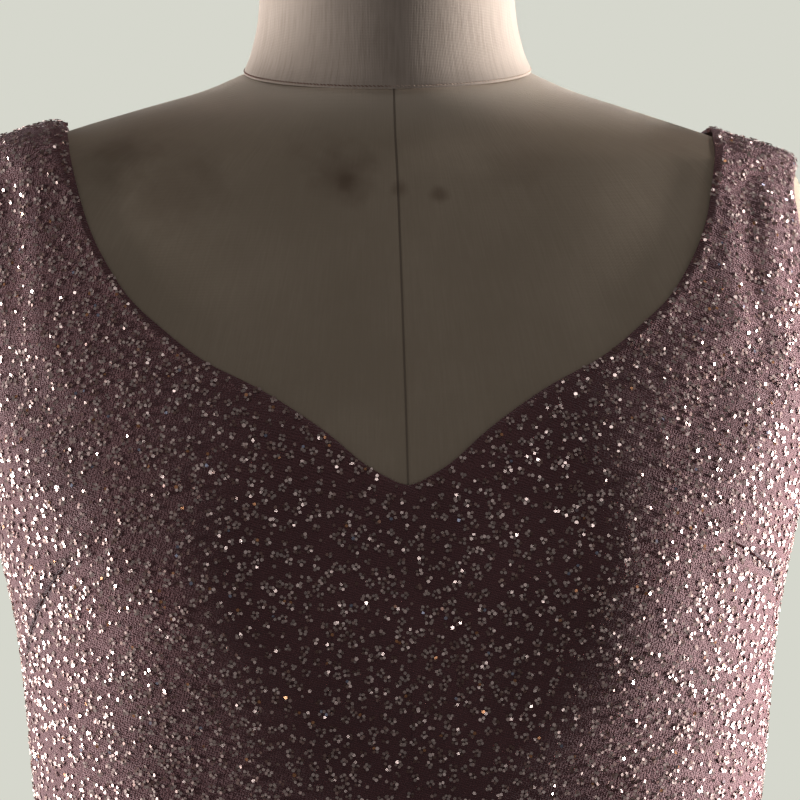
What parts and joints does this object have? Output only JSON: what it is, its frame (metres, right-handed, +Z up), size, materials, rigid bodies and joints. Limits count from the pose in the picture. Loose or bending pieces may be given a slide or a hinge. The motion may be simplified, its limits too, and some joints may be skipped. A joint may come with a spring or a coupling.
{
  "type": "sequin maxi dress on a dress form",
  "caption": "Floor-length sleeveless dress of sequinned knit with a V neck and wide straps, worn by a linen dress form on a pole with a round foot.",
  "frame": {"origin": "centre of the foot's underside, on the floor", "axes": "+Z up along the pole, the dress faces -Y, +X is the viewer's right when the front is seen"},
  "size_m": [0.7026, 0.7028, 1.5773],
  "materials": {
    "sequin_knit": "dusty mauve knit scattered with clusters of tiny clear sequins",
    "form_linen": "natural grey linen, smooth and tightly drawn",
    "neck_linen": "paler linen with upright slubs",
    "form_wood": "satin varnished beech",
    "stand_steel": "satin black paint"
  },
  "bodies": {
    "root": {"dress_front": "sequin_knit", "dress_back": "sequin_knit", "form_torso": "form_linen", "form_neck": "neck_linen", "form_neck_cap": "form_wood", "form_bottom_board": "form_wood", "stand_pole": "stand_steel", "stand_collar": "stand_steel", "stand_foot": "stand_steel"}
  },
  "joints": []
}
